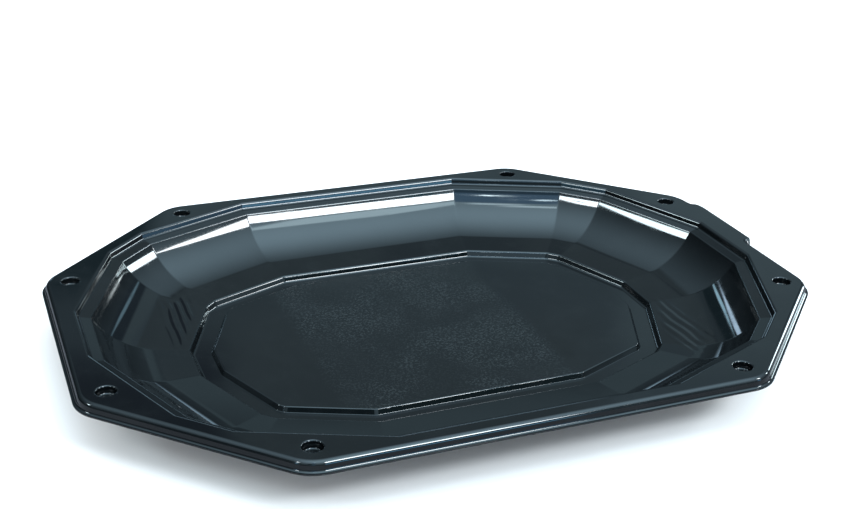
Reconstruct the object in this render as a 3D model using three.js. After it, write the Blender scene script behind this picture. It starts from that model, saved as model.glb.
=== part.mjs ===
// Shallow eight-cornered serving tray, pressed from one sheet of black plastic: a flat flange with a turned-down
// rim and a pull tab, eight blind dimples at its corners, and a sixteen-sided well with a ledge, a curved wall,
// a sloping floor and a sunk ring round a flat middle panel. The tray stands on the underside of that ring.
// Millimetres, +Z up, +X along the tray towards the tab. The origin is on the table, halfway between the tray's
// two ends with the tab counted in.
import * as THREE from 'three';
import { mergeVertices } from 'three/addons/utils/BufferGeometryUtils.js';

// Sheet and overall height, from the table to the top of the flange
const SHEET_THICKNESS = 0.8;
const TRAY_HEIGHT = 36;

// Flat of the flange, out to where the rim starts to turn down
const FLANGE_LENGTH = 449.6;
const FLANGE_WIDTH = 342.6;
const CORNER_CUT = 94.6;
const CORNER_RADIUS = 19.3;

// Rim: a rounded shoulder, a steep skirt, and a narrow lip where the sheet is trimmed
const RIM_OUTSET = 5.2;
const RIM_DROP = 5.5;
const SHOULDER_RADIUS = 3;
const SKIRT_ANGLE = 82;
const LIP_FILLET = 1.6;

// Pull tab on the +X side, a flat tongue that takes the rim's place between two ends along Y
const TAB_OUTSET = 7.7;
const TAB_LIFT = { from: 79, to: 57 };
const TAB_FLARE = { from: 66, to: 51 };
const TAB_NOTCH = { from: -12.5, to: -5.5 };
const TAB_STEPS = 5;

// Dimples, centred where the corners of the flange would be if it were this much smaller all round
const DIMPLE_INSET = 12.3;
const DIMPLE_MOUTH_RADIUS = 5.6;
const DIMPLE_FLOOR_RADIUS = 4.8;
const DIMPLE_DEPTH = 4.5;
const DIMPLE_ROUNDING = 1;
const DIMPLE_SIDES = 12;

// Well: distance from the tray's centre to each of the five kinds of side, from a short end to a long side,
// which face 22.5 degrees apart
const WELL_REACH = [214.9, 209.7, 204.9, 182.3, 163.7];
const SIDE_TURN = 22.5;

// Steps down into the well, as insets from the well's edge and drops below the flange
const RISER = { inset: 1.1, drop: 4.2, topRounding: 2.4, footFillet: 1.8 };
const LEDGE = { inset: 8, drop: 5.6, rounding: 1.2 };
const WALL_ANGLE = 60;
const COVE_RADIUS = 46.5;
const FLOOR_SLOPE = 5.7;
const FLOOR = { inset: 63.8, drop: 31.2, rounding: 1.9 };
const RING_OUTER = { inset: 65.9, fillet: 1.8 };
const RING_INNER = { inset: 76.5, fillet: 0.4 };
const PANEL = { inset: 78.2, drop: 32.2, rounding: 0.9 };

// Creases between the well's sides are tight at the flange and softer at the panel
const CREASE_RADIUS = 2;
const CREASE_SPREAD = 0.08;

// Flat steps that stand for the arcs
const CREASE_STEPS = 2;
const CORNER_STEPS = 4;
const COVE_STEPS = 7;

const radians = THREE.MathUtils.degToRad;

// Where two straight lines meet, each given by the direction it faces and its distance from the centre
function meetingPoint(lineA, lineB) {
  const [cosA, sinA] = [Math.cos(lineA.angle), Math.sin(lineA.angle)];
  const [cosB, sinB] = [Math.cos(lineB.angle), Math.sin(lineB.angle)];
  const determinant = cosA * sinB - sinA * cosB;
  const x = (lineA.reach * sinB - lineB.reach * sinA) / determinant;
  const y = (lineB.reach * cosA - lineA.reach * cosB) / determinant;
  return new THREE.Vector2(x, y);
}

// A closed outline from its sides in order, with an arc of flat steps at each corner
function roundedOutline(sides, outset, radius, steps) {
  const points = [];
  sides.forEach((side, index) => {
    const next = sides[(index + 1) % sides.length];
    const turn = THREE.MathUtils.euclideanModulo(next.angle - side.angle, 2 * Math.PI);
    const pulledIn = [side, next].map(({ angle, reach }) => ({ angle, reach: reach + outset - radius }));
    const centre = meetingPoint(...pulledIn);
    for (let step = 0; step <= steps; step += 1) {
      const angle = side.angle + turn * step / steps;
      points.push(new THREE.Vector2(Math.cos(angle), Math.sin(angle)).multiplyScalar(radius).add(centre));
    }
  });
  return points;
}

// A section line through given corners, each rounded by an arc that touches the lines to its neighbours. It runs
// from the outside of the tray inwards: x is the distance outwards and y the height above the flange. The first
// and last corners only say which way the line starts and ends.
function roundedSection(corners) {
  const points = corners.map(({ x, y }) => new THREE.Vector2(x, y));
  return corners.slice(1, -1).flatMap(({ radius = 0, steps = 1 }, index) => {
    const corner = points[index + 1];
    if (radius === 0) {
      return [corner];
    }
    const before = points[index].clone().sub(corner).normalize();
    const after = points[index + 2].clone().sub(corner).normalize();
    const halfAngle = Math.acos(before.dot(after)) / 2;
    const bisector = before.clone().add(after).normalize();
    const centre = corner.clone().addScaledVector(bisector, radius / Math.sin(halfAngle));
    const start = corner.clone().addScaledVector(before, radius / Math.tan(halfAngle));
    const sweep = -Math.sign(before.cross(after)) * (Math.PI - 2 * halfAngle);
    return Array.from({ length: steps + 1 }, (_, step) => start.clone().rotateAround(centre, sweep * step / steps));
  });
}

// The underside of a section: the same line moved through the sheet, with level ends
function underside(section) {
  const level = new THREE.Vector2(0, 1);
  const normals = section.slice(1).map((point, index) => {
    const along = point.clone().sub(section[index]).normalize();
    return new THREE.Vector2(along.y, -along.x);
  });
  return section.map((point, index) => {
    const outer = index === 0 ? level : normals[index - 1];
    const inner = index === section.length - 1 ? level : normals[index];
    const mitre = outer.clone().add(inner).divideScalar(1 + outer.dot(inner));
    return point.clone().addScaledVector(mitre, -SHEET_THICKNESS);
  });
}

// Flange outline: an octagon with rounded corners, and more points along the tab's side
const flangeSides = [];
for (let index = 0; index < 8; index += 1) {
  const halfLength = FLANGE_LENGTH / 2;
  const halfWidth = FLANGE_WIDTH / 2;
  const reaches = [halfLength, (halfLength + halfWidth - CORNER_CUT) / Math.SQRT2, halfWidth];
  const around = index % 4;
  flangeSides.push({ angle: radians(45 * index), reach: reaches[around === 3 ? 1 : around] });
}

const tabStations = [TAB_NOTCH, { from: TAB_FLARE.to, to: TAB_FLARE.from }].flatMap(({ from, to }) => {
  return Array.from({ length: TAB_STEPS + 1 }, (_, step) => THREE.MathUtils.lerp(from, to, step / TAB_STEPS));
});

function flangeRing(outset) {
  const ring = roundedOutline(flangeSides, outset, CORNER_RADIUS + outset, CORNER_STEPS);
  return [...ring, ...tabStations.map((y) => new THREE.Vector2(ring[0].x, y))];
}

// Share of the tab in the rim at a point along Y: how far its drop has gone, and how far it has spread outwards
function tabShare(point) {
  if (point.x < 0) {
    return { lift: 0, flare: 0 };
  }
  const notch = THREE.MathUtils.smoothstep(point.y, TAB_NOTCH.from, TAB_NOTCH.to);
  const lift = 1 - THREE.MathUtils.smoothstep(point.y, TAB_LIFT.to, TAB_LIFT.from);
  const flare = 1 - THREE.MathUtils.smoothstep(point.y, TAB_FLARE.to, TAB_FLARE.from);
  return { lift: Math.min(notch, lift), flare: Math.min(notch, flare) };
}

const shoulderRun = SHOULDER_RADIUS * Math.tan(radians(SKIRT_ANGLE / 2));
const skirtRun = RIM_DROP / Math.tan(radians(SKIRT_ANGLE));
const rimSection = roundedSection([
  { x: 2 * RIM_OUTSET, y: -RIM_DROP },
  { x: RIM_OUTSET, y: -RIM_DROP },
  { x: shoulderRun + skirtRun, y: -RIM_DROP, radius: LIP_FILLET, steps: 2 },
  { x: shoulderRun, y: 0, radius: SHOULDER_RADIUS, steps: 4 },
  { x: -RIM_OUTSET, y: 0 },
]);

// Rings of the rim from its trimmed edge to the flange, where the tab's flat tongue replaces the section's shape
function rimRings(section) {
  const base = flangeRing(0);
  const widest = Math.max(...rimSection.map(({ x }) => x));
  return section.map(({ x, y }, index) => {
    const ring = flangeRing(x);
    const level = section[section.length - 1].y;
    return ring.map((point, around) => {
      const { lift, flare } = tabShare(base[around]);
      const outset = rimSection[index].x / widest * TAB_OUTSET;
      const tongue = base[around].clone();
      tongue.x += outset;
      const spread = point.clone().lerp(tongue, flare);
      return new THREE.Vector3(spread.x, spread.y, TRAY_HEIGHT + THREE.MathUtils.lerp(y, level, lift));
    });
  });
}

// Well outline, counted round the tray from the +X side
const wellSides = [];
for (let index = 0; index < 16; index += 1) {
  const fromEnd = index % 8;
  wellSides.push({ angle: radians(SIDE_TURN * index), reach: WELL_REACH[fromEnd > 4 ? 8 - fromEnd : fromEnd] });
}

const wallRise = Math.tan(radians(WALL_ANGLE));
const floorRise = Math.tan(radians(FLOOR_SLOPE));
const coveInset = (FLOOR.drop - FLOOR.inset * floorRise - LEDGE.drop + LEDGE.inset * wallRise)
  / (wallRise - floorRise);
const coveDrop = LEDGE.drop + (coveInset - LEDGE.inset) * wallRise;
const ringDrop = TRAY_HEIGHT - SHEET_THICKNESS;
const wellSection = roundedSection([
  { x: LEDGE.inset, y: 0 },
  { x: 0, y: 0, radius: RISER.topRounding, steps: 2 },
  { x: -RISER.inset, y: -RISER.drop, radius: RISER.footFillet },
  { x: -LEDGE.inset, y: -LEDGE.drop, radius: LEDGE.rounding, steps: 2 },
  { x: -coveInset, y: -coveDrop, radius: COVE_RADIUS, steps: COVE_STEPS },
  { x: -FLOOR.inset, y: -FLOOR.drop, radius: FLOOR.rounding },
  { x: -RING_OUTER.inset, y: -ringDrop, radius: RING_OUTER.fillet },
  { x: -RING_INNER.inset, y: -ringDrop, radius: RING_INNER.fillet },
  { x: -PANEL.inset, y: -PANEL.drop, radius: PANEL.rounding, steps: 2 },
  { x: -2 * PANEL.inset, y: -PANEL.drop },
]);

function wellRings(section) {
  return section.map(({ x, y }, index) => {
    const creaseRadius = CREASE_RADIUS - wellSection[index].x * CREASE_SPREAD;
    const outline = roundedOutline(wellSides, x, creaseRadius, CREASE_STEPS);
    return outline.map((point) => new THREE.Vector3(point.x, point.y, TRAY_HEIGHT + y));
  });
}

// Dimple centres and section
const dimpleSides = flangeSides.map(({ angle, reach }) => ({ angle, reach: reach - DIMPLE_INSET }));
const dimpleCentres = dimpleSides.map((side, index) => meetingPoint(side, dimpleSides[(index + 1) % 8]));
const dimpleSection = roundedSection([
  { x: 2 * DIMPLE_MOUTH_RADIUS, y: 0 },
  { x: DIMPLE_MOUTH_RADIUS, y: 0, radius: DIMPLE_ROUNDING, steps: 2 },
  { x: DIMPLE_FLOOR_RADIUS, y: -DIMPLE_DEPTH, radius: DIMPLE_ROUNDING },
  { x: 0, y: -DIMPLE_DEPTH },
]);

function dimpleRings(section, centre) {
  return section.map(({ x, y }) => Array.from({ length: DIMPLE_SIDES }, (_, side) => {
    const angle = 2 * Math.PI * side / DIMPLE_SIDES;
    return new THREE.Vector3(centre.x + x * Math.cos(angle), centre.y + x * Math.sin(angle), TRAY_HEIGHT + y);
  }));
}

// Triangles of the sheet: bands between rings, and flat stretches between outlines
const corners = [];

function addTriangle(a, b, c, facesUp) {
  corners.push(...(facesUp ? [a, b, c] : [a, c, b]));
}

function addBands(rings, facesUp) {
  rings.slice(1).forEach((inner, index) => {
    const outer = rings[index];
    outer.forEach((point, around) => {
      const next = (around + 1) % outer.length;
      addTriangle(point, outer[next], inner[next], facesUp);
      addTriangle(point, inner[next], inner[around], facesUp);
    });
  });
}

function addFlat(outline, holes, facesUp) {
  const points = [...outline, ...holes.flat()];
  THREE.ShapeUtils.triangulateShape(outline, holes).forEach(([a, b, c]) => {
    addTriangle(points[a], points[b], points[c], facesUp);
  });
}

const last = (rings) => rings[rings.length - 1];

function addSkin(shapeOf, facesUp) {
  const rim = rimRings(shapeOf(rimSection));
  const well = wellRings(shapeOf(wellSection));
  const dimples = dimpleCentres.map((centre) => dimpleRings(shapeOf(dimpleSection), centre));
  [rim, well, ...dimples].forEach((rings) => addBands(rings, facesUp));
  addFlat(last(rim), [well[0], ...dimples.map((rings) => rings[0])], facesUp);
  [well, ...dimples].forEach((rings) => addFlat(last(rings), [], facesUp));
  return rim[0];
}

function traySheet() {
  const topEdge = addSkin((section) => section, true);
  const bottomEdge = addSkin(underside, false);
  addBands([bottomEdge, topEdge], true);
  const loose = new THREE.BufferGeometry().setFromPoints(corners);
  const sheet = mergeVertices(loose, 1e-4);
  sheet.computeVertexNormals();
  return sheet;
}

const blackPlastic = new THREE.MeshStandardMaterial({ color: '#0c1114', roughness: 0.12, metalness: 0 });
const tray = new THREE.Mesh(traySheet(), blackPlastic);
tray.name = 'tray';
tray.position.x = (RIM_OUTSET - TAB_OUTSET) / 2;

const servingTray = new THREE.Group();
servingTray.name = 'serving_tray';
servingTray.add(tray);

export default servingTray;
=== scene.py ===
"""A black plastic serving tray on a pale floor, seen from above one corner.

Metres, +Z up, +X towards the pull tab.
"""

import math

import bmesh
import bpy
from mathutils import Matrix, Vector
from mathutils.geometry import delaunay_2d_cdt


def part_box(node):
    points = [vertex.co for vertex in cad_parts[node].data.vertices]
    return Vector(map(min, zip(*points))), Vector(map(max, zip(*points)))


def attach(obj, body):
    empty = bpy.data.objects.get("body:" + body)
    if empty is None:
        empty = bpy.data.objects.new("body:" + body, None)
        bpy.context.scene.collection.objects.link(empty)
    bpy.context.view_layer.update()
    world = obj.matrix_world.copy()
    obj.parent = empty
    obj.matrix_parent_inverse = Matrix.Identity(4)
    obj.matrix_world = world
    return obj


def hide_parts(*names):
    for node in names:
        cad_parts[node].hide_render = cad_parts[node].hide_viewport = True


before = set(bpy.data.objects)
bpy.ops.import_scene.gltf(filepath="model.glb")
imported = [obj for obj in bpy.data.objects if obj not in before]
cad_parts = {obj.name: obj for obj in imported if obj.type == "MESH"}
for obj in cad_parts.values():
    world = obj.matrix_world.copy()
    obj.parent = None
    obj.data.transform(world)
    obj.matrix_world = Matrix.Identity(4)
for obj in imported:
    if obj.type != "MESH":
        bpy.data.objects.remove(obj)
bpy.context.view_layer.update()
scene = bpy.context.scene

# Camera
# It stands off the tray's far left corner and looks down on it, as in the photograph, with a slight roll to the
# right. The lens is the one that makes the octagon and the wall's facets fall where the photograph has them.
CAMERA_PLACE = Vector((-0.2809, -0.6913, 0.3892))
CAMERA_TURN = math.radians(21.72)
CAMERA_DIP = math.radians(24.20)
CAMERA_ROLL = math.radians(1.33)
CAMERA_LENS = 55.50
CAMERA_SENSOR = 36.0
CAMERA_NEAR = 0.01

camera_data = bpy.data.cameras.new("camera")
camera_data.lens = CAMERA_LENS
camera_data.sensor_width = CAMERA_SENSOR
camera_data.clip_start = CAMERA_NEAR
camera = bpy.data.objects.new("camera", camera_data)
scene.collection.objects.link(camera)
camera.matrix_world = (
    Matrix.Translation(CAMERA_PLACE)
    @ Matrix.Rotation(-CAMERA_TURN, 4, "Z")
    @ Matrix.Rotation(math.pi / 2 - CAMERA_DIP, 4, "X")
    @ Matrix.Rotation(CAMERA_ROLL, 4, "Z")
)
scene.camera = camera

# Tray
# One sheet of black polystyrene, heated and drawn down into a mould, then trimmed round the lip of its rim. The
# well has sixteen flat sides that run from a narrow ledge down a curved wall and a sloping floor to a sunk ring
# round the middle panel. Eight dimples in the flange catch the studs of a lid, and a tongue at one end is the tab.
MM = 0.001
SHEET = 0.8 * MM
FLANGE_LENGTH = 449.6 * MM
FLANGE_WIDTH = 342.6 * MM
CORNER_CUT = 94.6 * MM
CORNER_RADIUS = 19.3 * MM
CORNER_STEPS = 14

RIM_OUTSET = 5.2 * MM
RIM_DROP = 5.5 * MM
SHOULDER_RADIUS = 3 * MM
SKIRT_ANGLE = math.radians(82)
LIP_FILLET = 1.6 * MM

TAB_OUTSET = 7.7 * MM
TAB_LIFT = (79 * MM, 57 * MM)
TAB_FLARE = (66 * MM, 51 * MM)
TAB_NOTCH = (-12.5 * MM, -5.5 * MM)
TAB_STEPS, TAB_DECIMALS = 14, 6

DIMPLE_INSET = 12.3 * MM
DIMPLE_MOUTH = 5.6 * MM
DIMPLE_FLOOR = 4.8 * MM
DIMPLE_DEPTH = 4.5 * MM
DIMPLE_ROUNDING = 1.0 * MM
DIMPLE_SIDES = 48

WELL_REACH = [reach * MM for reach in (214.9, 209.7, 204.9, 182.3, 163.7)]
SIDE_TURN = math.radians(22.5)
RISER_INSET, RISER_DROP = 1.1 * MM, 4.2 * MM
RISER_TOP, RISER_FOOT = 2.4 * MM, 1.8 * MM
LEDGE_INSET, LEDGE_DROP, LEDGE_ROUNDING = 8 * MM, 5.6 * MM, 1.2 * MM
WALL_ANGLE = math.radians(60)
COVE_RADIUS = 46.5 * MM
FLOOR_SLOPE = math.radians(5.7)
FLOOR_INSET, FLOOR_DROP, FLOOR_ROUNDING = 63.8 * MM, 31.2 * MM, 1.9 * MM
RING_OUTER, RING_OUTER_FILLET = 65.9 * MM, 1.8 * MM
RING_INNER, RING_INNER_FILLET = 76.5 * MM, 0.4 * MM
PANEL_INSET, PANEL_DROP, PANEL_ROUNDING = 78.2 * MM, 32.2 * MM, 0.9 * MM
CREASE_RADIUS = 2 * MM
CREASE_SPREAD = 0.08
CREASE_STEPS = 8
FILL_KIND, FILL_TOLERANCE = 2, 1e-9

FLANGE_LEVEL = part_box("tray")[1].z
TRAY_CENTRE = (RIM_OUTSET - TAB_OUTSET) / 2


def smooth_step(value, start, end):
    """0 before start, 1 after end, and an S-shaped rise between them."""
    share = min(max((value - start) / (end - start), 0), 1)
    return share * share * (3 - 2 * share)


def meeting_point(side_a, side_b):
    """Where two straight sides meet, each given by the way it faces and its distance from the centre."""
    (angle_a, reach_a), (angle_b, reach_b) = side_a, side_b
    turn = math.sin(angle_b - angle_a)
    x = (reach_a * math.sin(angle_b) - reach_b * math.sin(angle_a)) / turn
    y = (reach_b * math.cos(angle_a) - reach_a * math.cos(angle_b)) / turn
    return Vector((x, y))


def rounded_outline(sides, outset, radius, steps):
    """A closed outline from its sides in order, with an arc at each corner."""
    points = []
    for side, following in zip(sides, sides[1:] + sides[:1]):
        turn = (following[0] - side[0]) % math.tau
        centre = meeting_point(*[(angle, reach + outset - radius) for angle, reach in (side, following)])
        for step in range(steps + 1):
            angle = side[0] + turn * step / steps
            points.append(centre + radius * Vector((math.cos(angle), math.sin(angle))))
    return points


def rounded_section(corners):
    """A section line through corners (x outwards, y above the flange, radius, steps), rounded at each. The first
    and last corners only say which way the line starts and ends."""
    section = []
    for before, corner, after in zip(corners, corners[1:], corners[2:]):
        place = Vector(corner[:2])
        if len(corner) == 2:
            section.append(place)
            continue
        radius, steps = corner[2:]
        back = (Vector(before[:2]) - place).normalized()
        ahead = (Vector(after[:2]) - place).normalized()
        half = back.angle(ahead) / 2
        centre = place + (back + ahead).normalized() * radius / math.sin(half)
        spoke = place + back * radius / math.tan(half) - centre
        sweep = math.copysign(math.pi - 2 * half, -back.cross(ahead))
        for step in range(steps + 1):
            section.append(centre + Matrix.Rotation(sweep * step / steps, 2) @ spoke)
    return section


def through_sheet(section):
    """The same section line on the sheet's other face, with level ends."""
    level = Vector((0, 1))
    normals = [level]
    for start, end in zip(section, section[1:]):
        along = (end - start).normalized()
        normals.append(Vector((along.y, -along.x)))
    normals.append(level)
    moved = []
    for place, outer, inner in zip(section, normals, normals[1:]):
        mitre = (outer + inner) / (1 + outer.dot(inner))
        moved.append(place - mitre * SHEET)
    return moved


half_length, half_width = FLANGE_LENGTH / 2, FLANGE_WIDTH / 2
cut_reach = (half_length + half_width - CORNER_CUT) / math.sqrt(2)
flange_sides = [
    (math.radians(45 * index), (half_length, cut_reach, half_width, cut_reach)[index % 4]) for index in range(8)
]
well_sides = [(SIDE_TURN * index, WELL_REACH[min(index % 8, 8 - index % 8)]) for index in range(16)]

shoulder_run = SHOULDER_RADIUS * math.tan(SKIRT_ANGLE / 2)
skirt_run = RIM_DROP / math.tan(SKIRT_ANGLE)
rim_section = rounded_section([
    (2 * RIM_OUTSET, -RIM_DROP),
    (RIM_OUTSET, -RIM_DROP),
    (shoulder_run + skirt_run, -RIM_DROP, LIP_FILLET, 7),
    (shoulder_run, 0, SHOULDER_RADIUS, 14),
    (-RIM_OUTSET, 0),
])

wall_rise, floor_rise = math.tan(WALL_ANGLE), math.tan(FLOOR_SLOPE)
cove_inset = (FLOOR_DROP - FLOOR_INSET * floor_rise - LEDGE_DROP + LEDGE_INSET * wall_rise) / (wall_rise - floor_rise)
cove_drop = LEDGE_DROP + (cove_inset - LEDGE_INSET) * wall_rise
ring_drop = FLANGE_LEVEL - SHEET
well_section = rounded_section([
    (LEDGE_INSET, 0),
    (0, 0, RISER_TOP, 10),
    (-RISER_INSET, -RISER_DROP, RISER_FOOT, 7),
    (-LEDGE_INSET, -LEDGE_DROP, LEDGE_ROUNDING, 6),
    (-cove_inset, -cove_drop, COVE_RADIUS, 30),
    (-FLOOR_INSET, -FLOOR_DROP, FLOOR_ROUNDING, 7),
    (-RING_OUTER, -ring_drop, RING_OUTER_FILLET, 8),
    (-RING_INNER, -ring_drop, RING_INNER_FILLET, 4),
    (-PANEL_INSET, -PANEL_DROP, PANEL_ROUNDING, 7),
    (-2 * PANEL_INSET, -PANEL_DROP),
])
dimple_section = rounded_section([
    (2 * DIMPLE_MOUTH, 0),
    (DIMPLE_MOUTH, 0, DIMPLE_ROUNDING, 6),
    (DIMPLE_FLOOR, -DIMPLE_DEPTH, DIMPLE_ROUNDING, 5),
    (0, -DIMPLE_DEPTH),
])


def tab_stations():
    """Places along Y where the rim turns into the tab and back."""
    for start, end in (TAB_NOTCH, TAB_FLARE[::-1], TAB_LIFT[::-1]):
        for step in range(TAB_STEPS + 1):
            yield start + (end - start) * step / TAB_STEPS


def flange_ring(outset):
    """The flange's outline moved outwards, with extra points along the straight of the tab's side."""
    ring = rounded_outline(flange_sides, outset, CORNER_RADIUS + outset, CORNER_STEPS)
    stations = {round(station, TAB_DECIMALS) for station in tab_stations() if station < ring[0].y}
    return ring + [Vector((ring[0].x, y)) for y in sorted(stations)]


def rim_rings(section):
    """Rings from the trimmed edge to the flange, where the tab's flat tongue takes the rim's place."""
    base = flange_ring(0)
    widest = max(point.x for point in rim_section)
    rings = []
    for place, outer in zip(section, rim_section):
        ring = []
        for point, foot in zip(flange_ring(place.x), base):
            lift = flare = 0
            if foot.x > 0:
                notch = smooth_step(foot.y, *TAB_NOTCH)
                lift = min(notch, 1 - smooth_step(foot.y, *TAB_LIFT[::-1]))
                flare = min(notch, 1 - smooth_step(foot.y, *TAB_FLARE[::-1]))
            tongue = foot + Vector((outer.x / widest * TAB_OUTSET, 0))
            spread = point.lerp(tongue, flare)
            drop = place.y + (section[-1].y - place.y) * lift
            ring.append(Vector((spread.x, spread.y, drop)))
        rings.append(ring)
    return rings


def well_rings(section):
    rings = []
    for place, upper in zip(section, well_section):
        outline = rounded_outline(well_sides, place.x, CREASE_RADIUS - upper.x * CREASE_SPREAD, CREASE_STEPS)
        rings.append([Vector((point.x, point.y, place.y)) for point in outline])
    return rings


def dimple_rings(section, centre):
    rings = []
    for place in section:
        turns = [math.tau * side / DIMPLE_SIDES for side in range(DIMPLE_SIDES)]
        ring = [centre + place.x * Vector((math.cos(turn), math.sin(turn))) for turn in turns]
        rings.append([Vector((point.x, point.y, place.y)) for point in ring])
    return rings


def add_bands(mesh, rings, faces_up):
    """Strips of quads between rings of corners."""
    for outer, inner in zip(rings, rings[1:]):
        for index in range(len(outer)):
            following = (index + 1) % len(outer)
            quad = [outer[index], outer[following], inner[following], inner[index]]
            mesh.faces.new(quad if faces_up else quad[::-1])


def add_flat(mesh, outline, holes, faces_up):
    """A level stretch inside an outline and around holes."""
    corners = outline + [corner for hole in holes for corner in hole]
    edges, start = [], 0
    for loop in [outline] + holes:
        edges += [(start + index, start + (index + 1) % len(loop)) for index in range(len(loop))]
        start += len(loop)
    flat = [corner.co.xy for corner in corners]
    made = delaunay_2d_cdt(flat, edges, [], FILL_KIND, FILL_TOLERANCE)
    around, gaps = [corner.co.xy for corner in outline], [[corner.co.xy for corner in hole] for hole in holes]
    for face in made[2]:
        middle = sum((made[0][index] for index in face), Vector((0, 0))) / len(face)
        if not encloses(around, middle) or any(encloses(gap, middle) for gap in gaps):
            continue
        around_face = [corners[made[3][index][0]] for index in face]
        mesh.faces.new(around_face if faces_up else around_face[::-1])


def encloses(loop, point):
    """Whether a closed loop goes round a point."""
    inside = False
    for a, b in zip(loop, loop[1:] + loop[:1]):
        if (a.y > point.y) != (b.y > point.y):
            crossing = a.x + (point.y - a.y) / (b.y - a.y) * (b.x - a.x)
            inside ^= point.x < crossing
    return inside


def add_skin(mesh, face_of, faces_up):
    """One face of the sheet; gives back its trimmed edge."""
    def made(rings):
        return [[mesh.verts.new(place) for place in ring] for ring in rings]

    rim = made(rim_rings(face_of(rim_section)))
    well = made(well_rings(face_of(well_section)))
    dimples = [made(dimple_rings(face_of(dimple_section), centre)) for centre in dimple_centres]
    for rings in [rim, well] + dimples:
        add_bands(mesh, rings, faces_up)
    add_flat(mesh, rim[-1], [well[0]] + [rings[0] for rings in dimples], faces_up)
    for rings in [well] + dimples:
        add_flat(mesh, rings[-1], [], faces_up)
    return rim[0]


dimple_sides = [(angle, reach - DIMPLE_INSET) for angle, reach in flange_sides]
dimple_centres = [meeting_point(*pair) for pair in zip(dimple_sides, dimple_sides[1:] + dimple_sides[:1])]

tray_mesh = bmesh.new()
top_edge = add_skin(tray_mesh, lambda section: section, True)
bottom_edge = add_skin(tray_mesh, through_sheet, False)
skin_faces = len(tray_mesh.faces)
add_bands(tray_mesh, [bottom_edge, top_edge], True)
tray_mesh.faces.ensure_lookup_table()
for face in tray_mesh.faces[skin_faces:]:
    face.material_index = 1
for edge_ring in (top_edge, bottom_edge):
    for corner, following in zip(edge_ring, edge_ring[1:] + edge_ring[:1]):
        tray_mesh.edges.get((corner, following)).smooth = False
for face in tray_mesh.faces:
    face.smooth = True
bmesh.ops.translate(tray_mesh, verts=tray_mesh.verts, vec=(TRAY_CENTRE, 0, FLANGE_LEVEL))
tray_data = bpy.data.meshes.new("pressed_tray")
tray_mesh.to_mesh(tray_data)
tray_mesh.free()
tray = bpy.data.objects.new("pressed_tray", tray_data)
scene.collection.objects.link(tray)
shading = tray.modifiers.new("even_shading", "WEIGHTED_NORMAL")
shading.keep_sharp = True

BLACK = (0.0018, 0.0021, 0.0024, 1)
HAZED_BLACK = (0.0038, 0.0042, 0.0045, 1)
GRAIN_SPECK = (0.015, 0.017, 0.0175, 1)
CUT_BLACK = (0.010, 0.011, 0.012, 1)
PLASTIC_IOR = 1.54
GLOSS_ROUGHNESS, HANDLED_ROUGHNESS, GRAIN_ROUGHNESS = 0.05, 0.11, 0.16
CUT_ROUGHNESS, WORN_CUT_ROUGHNESS = 0.42, 0.52

SMEAR_SCALE, SMEAR_LEVELS = 34, (0.42, 0.78)
WAVE_SCALE, WAVE_HEIGHT = 13, 0.20 * MM
RIPPLE_SCALE, RIPPLE_HEIGHT = 52, 0.24 * MM
RIPPLE_BEND, RIPPLE_BEND_SCALE = 3, 0.6
RIPPLE_REACH = (134 * MM, 142 * MM, 155 * MM, 164 * MM)
RIPPLE_LEVELS = (4.9 * MM, 5.6 * MM, 8.5 * MM, 11 * MM)
RIPPLE_PATCH = (-0.0015, -0.0040, -0.0110, -0.0135)
GRAIN_SCALE, GRAIN_HEIGHT = 520, 0.07 * MM
GRAIN_LEFT, GRAIN_RIGHT, GRAIN_FADE = -88 * MM, 66 * MM, 14 * MM
SPECK_SCALE, SPECK_LEVELS = 1.4 * GRAIN_SCALE, (0.46, 0.70)
PATCH_SCALE, PATCH_LEVELS, PATCH_DEPTHS = 22, (0.36, 0.64), (0.25, 1.45)
PANEL_LEVEL = FLANGE_LEVEL - PANEL_DROP
PANEL_EDGE = (0.35 * MM, 0.15 * MM)
KNIFE_SCALE, KNIFE_HEIGHT = 900, 0.03 * MM


def add_node(tree, kind, sockets=None, **settings):
    """A shader node with its settings, and its sockets set or linked."""
    node = tree.nodes.new("ShaderNode" + kind)
    for name, value in settings.items():
        setattr(node, name, value)
    for name, value in (sockets or {}).items():
        if isinstance(value, bpy.types.NodeSocket):
            tree.links.new(value, node.inputs[name])
        else:
            node.inputs[name].default_value = value
    return node


def maths(tree, operation, *values):
    return add_node(tree, "Math", dict(enumerate(values)), operation=operation).outputs[0]


def ramp(tree, value, start, end, low=0.0, high=1.0):
    """A value that goes smoothly from low to high while another goes from start to end."""
    sockets = {"Value": value, "From Min": start, "From Max": end, "To Min": low, "To Max": high}
    return add_node(tree, "MapRange", sockets, interpolation_type="SMOOTHSTEP").outputs["Result"]


def handled_sheet_group():
    """Node group: where a thin plastic sheet is hazed from handling, as a mask, and how it waves, as a height."""
    tree = bpy.data.node_groups.new("handled_sheet", "ShaderNodeTree")
    tree.interface.new_socket(name="Place", in_out="INPUT", socket_type="NodeSocketVector")
    tree.interface.new_socket(name="Wave Height", in_out="INPUT", socket_type="NodeSocketFloat")
    tree.interface.new_socket(name="Haze", in_out="OUTPUT", socket_type="NodeSocketFloat")
    tree.interface.new_socket(name="Height", in_out="OUTPUT", socket_type="NodeSocketFloat")
    inputs, outputs = tree.nodes.new("NodeGroupInput"), tree.nodes.new("NodeGroupOutput")
    place = inputs.outputs["Place"]
    smears = add_node(tree, "TexNoise", {"Vector": place, "Scale": SMEAR_SCALE, "Detail": 5, "Roughness": 0.62})
    tree.links.new(ramp(tree, smears.outputs["Fac"], *SMEAR_LEVELS), outputs.inputs["Haze"])
    waves = add_node(tree, "TexNoise", {"Vector": place, "Scale": WAVE_SCALE, "Detail": 1.5, "Roughness": 0.4})
    height = maths(tree, "MULTIPLY", waves.outputs["Fac"], inputs.outputs["Wave Height"])
    tree.links.new(height, outputs.inputs["Height"])
    return tree


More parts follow.
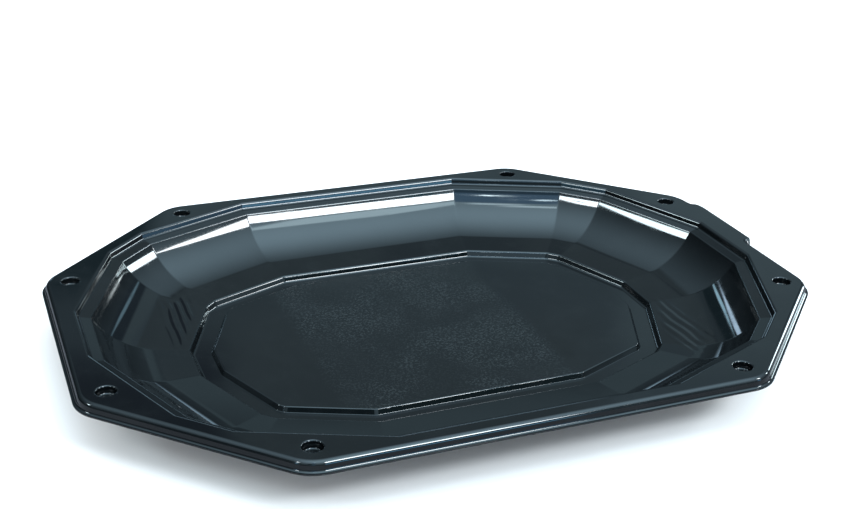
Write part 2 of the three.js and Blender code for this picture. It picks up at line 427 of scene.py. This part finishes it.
def sheet_material(name, colour, hazed_colour, roughness, hazed_roughness):
    """A material for the sheet, given back with its shader, place, handled sheet, tint and dullness."""
    material = bpy.data.materials.new(name)
    material.use_nodes = True
    tree = material.node_tree
    shader = tree.nodes["Principled BSDF"]
    shader.inputs["IOR"].default_value = PLASTIC_IOR
    place = add_node(tree, "TexCoord").outputs["Object"]
    handled = add_node(tree, "Group", node_tree=handled_sheet)
    handled.inputs["Wave Height"].default_value = WAVE_HEIGHT
    tree.links.new(place, handled.inputs["Place"])
    haze = handled.outputs["Haze"]
    tint = add_node(tree, "Mix", data_type="RGBA")
    tint.inputs["A"].default_value, tint.inputs["B"].default_value = colour, hazed_colour
    tree.links.new(haze, tint.inputs["Factor"])
    dull = ramp(tree, haze, 0, 1, roughness, hazed_roughness)
    return material, shader, place, handled, tint.outputs["Result"], dull


handled_sheet = handled_sheet_group()
black_plastic, plastic, place, handled, tint, dull = sheet_material(
    "black_plastic", BLACK, HAZED_BLACK, GLOSS_ROUGHNESS, HANDLED_ROUGHNESS
)
tree = black_plastic.node_tree
along, across, up = add_node(tree, "SeparateXYZ", {0: place}).outputs
from_panel = maths(tree, "ABSOLUTE", maths(tree, "SUBTRACT", up, PANEL_LEVEL))
grain_mask = ramp(tree, from_panel, *PANEL_EDGE)
for start, fade in ((GRAIN_LEFT, GRAIN_FADE), (GRAIN_RIGHT, -GRAIN_FADE)):
    grain_mask = maths(tree, "MULTIPLY", grain_mask, ramp(tree, along, start, start + fade))
grain = add_node(tree, "TexNoise", {"Vector": place, "Scale": GRAIN_SCALE, "Detail": 1.5, "Roughness": 0.6})
patches = add_node(tree, "TexNoise", {"Vector": place, "Scale": PATCH_SCALE, "Detail": 2})
patch_depth = ramp(tree, patches.outputs["Fac"], *PATCH_LEVELS, *PATCH_DEPTHS)
grain_depth = maths(tree, "MULTIPLY", grain_mask, patch_depth)
grain_height = maths(tree, "MULTIPLY", grain.outputs["Fac"], maths(tree, "MULTIPLY", grain_depth, GRAIN_HEIGHT))
specks = add_node(tree, "TexNoise", {"Vector": place, "Scale": SPECK_SCALE, "Detail": 2})
specked = add_node(tree, "Mix", data_type="RGBA")
specked.inputs["B"].default_value = GRAIN_SPECK
speck_mask = maths(tree, "MULTIPLY", grain_depth, ramp(tree, specks.outputs["Fac"], *SPECK_LEVELS))
for source, socket in (
    (speck_mask, specked.inputs["Factor"]),
    (tint, specked.inputs["A"]),
    (specked.outputs["Result"], plastic.inputs["Base Color"]),
):
    tree.links.new(source, socket)

from_middle = maths(tree, "ABSOLUTE", along)
ripple_mask = maths(
    tree, "MULTIPLY", ramp(tree, from_middle, *RIPPLE_REACH[:2]), ramp(tree, from_middle, *RIPPLE_REACH[:1:-1])
)

# Negative in the two opposite quarters of the tray where the ripples lie, in square metres
opposite_ends = maths(tree, "MULTIPLY", along, across)
for mask in (
    ramp(tree, up, *RIPPLE_LEVELS[:2]),
    ramp(tree, up, *RIPPLE_LEVELS[:1:-1]),
    ramp(tree, opposite_ends, *RIPPLE_PATCH[:2]),
    ramp(tree, opposite_ends, *RIPPLE_PATCH[:1:-1]),
):
    ripple_mask = maths(tree, "MULTIPLY", ripple_mask, mask)
ripples = add_node(
    tree, "TexWave", {"Vector": place, "Scale": RIPPLE_SCALE, "Distortion": RIPPLE_BEND, "Detail": 1.5}
)
ripples.inputs["Detail Scale"].default_value = RIPPLE_BEND_SCALE
ripple_height = maths(
    tree, "MULTIPLY", ripples.outputs["Fac"], maths(tree, "MULTIPLY", ripple_mask, RIPPLE_HEIGHT)
)
relief = maths(tree, "ADD", handled.outputs["Height"], maths(tree, "ADD", grain_height, ripple_height))
bump = add_node(tree, "Bump", {"Height": relief, "Distance": 1.0, "Strength": 1.0})
tree.links.new(bump.outputs["Normal"], plastic.inputs["Normal"])
tree.links.new(ramp(tree, grain_mask, 0, 1, dull, GRAIN_ROUGHNESS), plastic.inputs["Roughness"])

trimmed_edge, plastic, place, _, tint, dull = sheet_material(
    "trimmed_edge", CUT_BLACK, HAZED_BLACK, CUT_ROUGHNESS, WORN_CUT_ROUGHNESS
)
tree = trimmed_edge.node_tree
knife_lines = add_node(tree, "TexNoise", {"Vector": place, "Scale": KNIFE_SCALE, "Detail": 2})
knife_height = maths(tree, "MULTIPLY", knife_lines.outputs["Fac"], KNIFE_HEIGHT)
bump = add_node(tree, "Bump", {"Height": knife_height, "Distance": 1.0, "Strength": 1.0})
for source, name in ((tint, "Base Color"), (dull, "Roughness"), (bump.outputs["Normal"], "Normal")):
    tree.links.new(source, plastic.inputs[name])
for material in (black_plastic, trimmed_edge):
    tray_data.materials.append(material)

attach(tray, "root")
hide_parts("tray")

# Floor
# A wide pale sheet of studio paper that the tray stands on, matt and even, with a faint tooth. It lies a hair below
# the tray's underside, so that the two faces don't coincide.
FLOOR_HALF = 9.0
FLOOR_LEVEL = -0.05 * MM
PAPER = (0.80, 0.80, 0.80, 1)
# Painted shade: the darker colour that the paper takes in the sheet's reflections, in place of its pale colour
SHADED_PAPER = (0.17, 0.18, 0.20, 1)
PAPER_ROUGHNESS = 0.95
TOOTH_SCALE, TOOTH_HEIGHT = 500, 0.05 * MM

floor_data = bpy.data.meshes.new("studio_floor")
floor_corners = [(x * FLOOR_HALF, y * FLOOR_HALF, FLOOR_LEVEL) for x, y in ((-1, -1), (1, -1), (1, 1), (-1, 1))]
floor_data.from_pydata(floor_corners, [], [(0, 1, 2, 3)])
floor = bpy.data.objects.new("studio_floor", floor_data)
scene.collection.objects.link(floor)
paper = bpy.data.materials.new("studio_paper")
paper.use_nodes = True
tree = paper.node_tree
paper_shader = tree.nodes["Principled BSDF"]
paper_shader.inputs["Roughness"].default_value = PAPER_ROUGHNESS
paper_shader.inputs["Specular IOR Level"].default_value = 0
paper_shader.inputs["Base Color"].default_value = PAPER
place = add_node(tree, "TexCoord").outputs["Object"]
tooth = add_node(tree, "TexNoise", {"Vector": place, "Scale": TOOTH_SCALE})
bump = add_node(tree, "Bump", {"Height": tooth.outputs["Fac"], "Distance": TOOTH_HEIGHT})
tree.links.new(bump.outputs["Normal"], paper_shader.inputs["Normal"])
# Painted shade: in the glossy sheet's reflections the paper is swapped for a darker copy of itself, so the rim
# mirrors a dim floor
shaded_paper = add_node(tree, "BsdfDiffuse", {"Color": SHADED_PAPER, "Normal": bump.outputs["Normal"]})
mirrored = add_node(tree, "LightPath").outputs["Is Glossy Ray"]
seen_paper = add_node(tree, "MixShader", {0: mirrored, 1: paper_shader.outputs[0], 2: shaded_paper.outputs[0]})
tree.links.new(seen_paper.outputs[0], tree.nodes["Material Output"].inputs["Surface"])
floor_data.materials.append(paper)

# Studio light
# A soft even dome lights the paper. What the glossy sheet mirrors is a big cool softbox overhead, brighter behind
# the camera, with windows and darker screens low round the room, which make the white bars on the upper wall.
GLOW_TURN, GLOW_RISE = math.radians(146), math.radians(76)
GLOW_SPREAD, GLOW_LEVEL = 4.03, -2.67
GLOW_COLOUR = (0.68, 1.0, 1.20)
DOME = (1.70, 1.70, 1.70, 1)
FAR_WALL = (1.0, 1.0, 1.0, 1)
WINDOWS = [
    # turn from +Y towards +X, rise, half width, half height and edge in degrees, then its red, green and blue
    # Low blue windows, which the riser and the rim mirror
    (162, 14, 8, 7, 2, (1.2, 3.0, 4.6)),
    (126.5, 10, 6, 6, 2, (0.9, 2.0, 3.2)),
    (-120, 14, 5, 5, 2, (0.5, 1.2, 1.7)),
    (-161, 18, 5, 5, 2, (0.4, 0.9, 1.3)),
    (-118.5, 22.5, 3, 1.8, 0.8, (6.5, 11, 14.5)),
    # Dark screens behind the camera, in the near edge of the panel
    (158, 28.5, 14, 5.5, 1.5, (0.05, 0.12, 0.14)),
    (158, 36, 4, 1.6, 0.8, (0.1, 0.6, 0.8)),
    (-151.5, 33.5, 5.5, 8.5, 1, (0.03, 0.07, 0.09)),
    (-104, 29, 4.5, 8, 1.5, (0.04, 0.07, 0.09)),
    (-161.5, 39, 4.5, 5, 1, (0.3, 0.6, 0.9)),
    # The far side of the room, in the flange, the floor and the panel
    (19, 22, 15, 2.1, 1.6, (0.20, 0.30, 0.35)),
    (21, 32.5, 9.5, 6, 3.5, (0.185, 0.26, 0.30)),
    (24.5, 35.4, 2.4, 1.6, 1.6, (0.14, 0.20, 0.24)),
    (17, 3, 9, 6, 4, (0.8, 1.2, 1.5)),
    (7.5, 31.5, 4.5, 3.5, 2.5, (0.065, 0.09, 0.12)),
    # The long softbox and its neighbours, in the walls round the well
    (147, 57, 9, 5, 2, (5.5, 7.5, 8.5)),
    (156, 44.5, 10, 5.6, 1, (36, 39, 41)),
    (114, 36.5, 4.3, 5.2, 0.6, (30, 32, 33)),
    (80.5, 25.3, 3.3, 3.2, 0.6, (24, 28, 30)),
    (67, 12, 4, 7, 1, (12, 15, 16)),
    (-74, 34.5, 4.2, 4, 0.8, (24, 30, 32)),
    (-114.8, 45.5, 3.4, 4.4, 0.6, (30, 34, 36)),
    (-113.4, 45.4, 0.5, 0.9, 0.4, (1.6, 3.6, 5)),
    (-162, 52, 5, 8.6, 1.5, (0.8, 1.5, 2.3)),
    (-162.5, 63.1, 2.3, 1.5, 0.6, (6, 8, 9)),
    (-167.6, 66.2, 3.2, 1.7, 0.6, (6, 8, 9)),
    (-160.6, 47.2, 0.6, 1.0, 0.4, (26, 32, 34)),
    (-164.9, 53.3, 0.6, 1.4, 0.4, (14, 18, 20)),
    # Small lamps and gaps, in the end walls and the right side of the flange
    (-2.3, 16.8, 1.4, 1.5, 0.8, (3.2, 4.5, 5.7)),
    (0.9, 18.9, 1.2, 0.9, 0.6, (2, 3.4, 4.2)),
    (5, 22.5, 4, 2.5, 1.5, (0.04, 0.08, 0.1)),
    (42, 20, 7, 7, 2, (0.08, 0.12, 0.16)),
    (36.5, 23.8, 5, 4.4, 2, (0.26, 0.38, 0.44)),
    (46.8, 17.8, 1.1, 1, 0.6, (0.7, 1.2, 1.5)),
    (50.6, 3.8, 0.9, 1.3, 0.5, (7.5, 8.5, 8.8)),
]

world = bpy.data.worlds.new("studio")
world.use_nodes = True
scene.world = world
tree = world.node_tree
tree.nodes.clear()


def window_group():
    """Node group: a mask for a soft-edged rectangle in the room, given by where it lies and how big it looks."""
    group = bpy.data.node_groups.new("window", "ShaderNodeTree")
    for name in ("Turn", "Rise", "Half Width", "Half Height", "Edge"):
        group.interface.new_socket(name=name, in_out="INPUT", socket_type="NodeSocketFloat")
    group.interface.new_socket(name="Direction", in_out="INPUT", socket_type="NodeSocketVector")
    group.interface.new_socket(name="Mask", in_out="OUTPUT", socket_type="NodeSocketFloat")
    inputs, outputs = group.nodes.new("NodeGroupInput"), group.nodes.new("NodeGroupOutput")
    split = add_node(group, "SeparateXYZ", {0: inputs.outputs["Direction"]}).outputs
    turn = maths(group, "ARCTAN2", split["X"], split["Y"])
    rise = maths(group, "ARCSINE", split["Z"])
    masks = []
    for angle, middle, half in ((turn, "Turn", "Half Width"), (rise, "Rise", "Half Height")):
        away = maths(group, "ABSOLUTE", maths(group, "SUBTRACT", angle, inputs.outputs[middle]))
        inside = maths(group, "SUBTRACT", inputs.outputs[half], away)
        masks.append(ramp(group, maths(group, "DIVIDE", inside, inputs.outputs["Edge"]), -0.5, 0.5))
    group.links.new(maths(group, "MULTIPLY", *masks), outputs.inputs["Mask"])
    return group


direction = add_node(tree, "TexCoord").outputs["Generated"]
glow_pole = (
    math.cos(GLOW_RISE) * math.sin(GLOW_TURN),
    math.cos(GLOW_RISE) * math.cos(GLOW_TURN),
    math.sin(GLOW_RISE),
)
toward_glow = add_node(tree, "VectorMath", {0: direction, 1: glow_pole}, operation="DOT_PRODUCT").outputs["Value"]
glow = maths(tree, "EXPONENT", maths(tree, "MULTIPLY_ADD", toward_glow, GLOW_SPREAD, GLOW_LEVEL))
light = add_node(tree, "VectorMath", {0: GLOW_COLOUR, "Scale": glow}, operation="SCALE").outputs[0]
window_kind = window_group()
for *angles, brightness in WINDOWS:
    window = add_node(tree, "Group", node_tree=window_kind)
    for name, degrees in zip(("Turn", "Rise", "Half Width", "Half Height", "Edge"), angles):
        window.inputs[name].default_value = math.radians(degrees)
    tree.links.new(direction, window.inputs["Direction"])
    shown = add_node(tree, "Mix", data_type="VECTOR")
    shown.inputs["B"].default_value = brightness
    for source, name in ((window.outputs["Mask"], "Factor"), (light, "A")):
        tree.links.new(source, shown.inputs[name])
    light = shown.outputs["Result"]

ray = add_node(tree, "LightPath").outputs
for kind, colour in (("Is Diffuse Ray", DOME), ("Is Camera Ray", FAR_WALL)):
    seen = add_node(tree, "Mix", data_type="RGBA")
    seen.inputs["B"].default_value = colour
    tree.links.new(ray[kind], seen.inputs["Factor"])
    tree.links.new(light, seen.inputs["A"])
    light = seen.outputs["Result"]
background = add_node(tree, "Background", {"Color": light})
add_node(tree, "OutputWorld", {"Surface": background.outputs[0]})
scene.view_settings.view_transform = "Standard"
